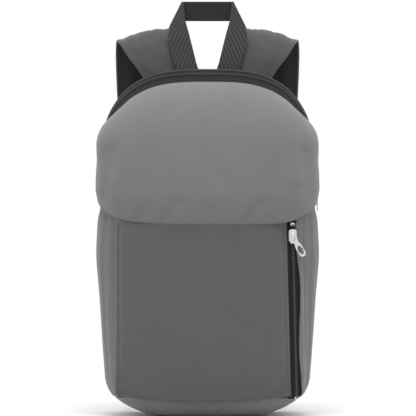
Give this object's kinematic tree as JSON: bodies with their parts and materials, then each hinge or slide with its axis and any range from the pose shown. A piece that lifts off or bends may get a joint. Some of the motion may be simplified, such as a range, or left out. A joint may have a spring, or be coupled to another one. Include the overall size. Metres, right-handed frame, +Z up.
{
  "type": "daypack",
  "caption": "Small soft daypack with an arched main zip, front pocket with an upright zip, padded shoulder straps and a webbing grab handle.",
  "frame": {"origin": "centre of the flat base", "axes": "+Z up, front with the pocket faces -Y, back panel and straps at +Y, +X to the right seen from the front"},
  "size_m": [0.258, 0.1921, 0.4758],
  "materials": {
    "shell_fabric": "fine grey polyester weave, matt",
    "pocket_fabric": "fine darker grey polyester weave, matt",
    "strap_fabric": "charcoal polyester weave, matt",
    "mesh_lining": "black spacer mesh and lining cloth",
    "foam": "closed-cell foam, matt",
    "webbing": "black woven polypropylene webbing",
    "zip_tape": "black knitted zip tape",
    "zip_coil": "black nylon coil, slightly glossy",
    "buckle_plastic": "black moulded acetal",
    "zip_metal": "satin nickel plating on die-cast zinc"
  },
  "bodies": {
    "bag": {"side_gusset_left": "shell_fabric", "side_gusset_right": "shell_fabric", "base_panel": "shell_fabric", "front_inner_panel": "mesh_lining", "pocket_panel": "pocket_fabric", "pocket_zip_left_coil": "zip_coil", "pocket_zip_left_tape": "zip_tape", "pocket_zip_right_coil": "zip_coil", "pocket_zip_right_tape": "zip_tape", "pocket_zip_top_stop": "zip_metal", "pocket_zip_bottom_stop": "zip_metal", "main_zip_back_coil": "zip_coil", "main_zip_back_tape": "zip_tape", "main_zip_stop_left": "zip_metal", "main_zip_stop_right": "zip_metal", "top_gusset": "shell_fabric", "back_panel_cover": "mesh_lining", "back_foam_pad": "foam", "back_lining": "mesh_lining", "strap_yoke": "strap_fabric", "strap_root_left": "strap_fabric", "strap_root_right": "strap_fabric", "strap_webbing_left": "webbing", "strap_webbing_right": "webbing", "strap_anchor_left": "strap_fabric", "strap_anchor_right": "strap_fabric"},
    "front_flap": {"upper_front_panel": "shell_fabric", "main_zip_front_tape": "zip_tape", "main_zip_front_coil": "zip_coil"},
    "main_slider": {"main_zip_slider": "zip_metal"},
    "main_puller": {"main_zip_puller": "zip_metal"},
    "pocket_slider": {"pocket_zip_slider": "zip_metal"},
    "pocket_puller": {"pocket_zip_puller": "zip_metal"},
    "strap_left": {"strap_cover_left": "strap_fabric", "strap_foam_left": "foam", "strap_lining_left": "mesh_lining", "ladder_lock_left": "buckle_plastic", "buckle_loop_left": "webbing", "strap_tail_left": "webbing"},
    "strap_right": {"strap_cover_right": "strap_fabric", "strap_foam_right": "foam", "strap_lining_right": "mesh_lining", "ladder_lock_right": "buckle_plastic", "buckle_loop_right": "webbing", "strap_tail_right": "webbing"},
    "grab_handle": {"grab_handle": "webbing"}
  },
  "joints": [
    {"name": "front_flap_open", "type": "hinge", "parent": "bag", "child": "front_flap", "pos_m": [0, -0.07, 0.2205], "axis": [1, 0, 0], "range_deg": [0, 135]},
    {"name": "main_slider_travel", "type": "slide", "parent": "bag", "child": "main_slider", "axis": [-0.0463, 0, 0.9989], "range_m": [0, 0.031]},
    {"name": "main_puller_swing", "type": "hinge", "parent": "main_slider", "child": "main_puller", "pos_m": [0.1256, 0.0071, 0.2601], "axis": [0, -1, 0], "range_deg": [0, 100]},
    {"name": "pocket_slider_travel", "type": "slide", "parent": "bag", "child": "pocket_slider", "axis": [0.0254, 0, -0.9997], "range_m": [0, 0.168]},
    {"name": "pocket_puller_swing", "type": "hinge", "parent": "pocket_slider", "child": "pocket_puller", "pos_m": [0.09735, -0.05585, 0.207], "axis": [-0.866, 0, -0.5], "range_deg": [0, 110]},
    {"name": "strap_swing_left", "type": "hinge", "parent": "bag", "child": "strap_left", "pos_m": [-0.073, 0.0862, 0.4465], "axis": [1, 0, 0], "range_deg": [0, 10]},
    {"name": "strap_swing_right", "type": "hinge", "parent": "bag", "child": "strap_right", "pos_m": [0.073, 0.0862, 0.4465], "axis": [1, 0, 0], "range_deg": [0, 10]},
    {"name": "grab_handle_swing", "type": "hinge", "parent": "bag", "child": "grab_handle", "pos_m": [0, 0.053, 0.394], "axis": [1, 0, 0], "range_deg": [0, 75], "stiffness_Nm_per_rad": 0.05}
  ]
}
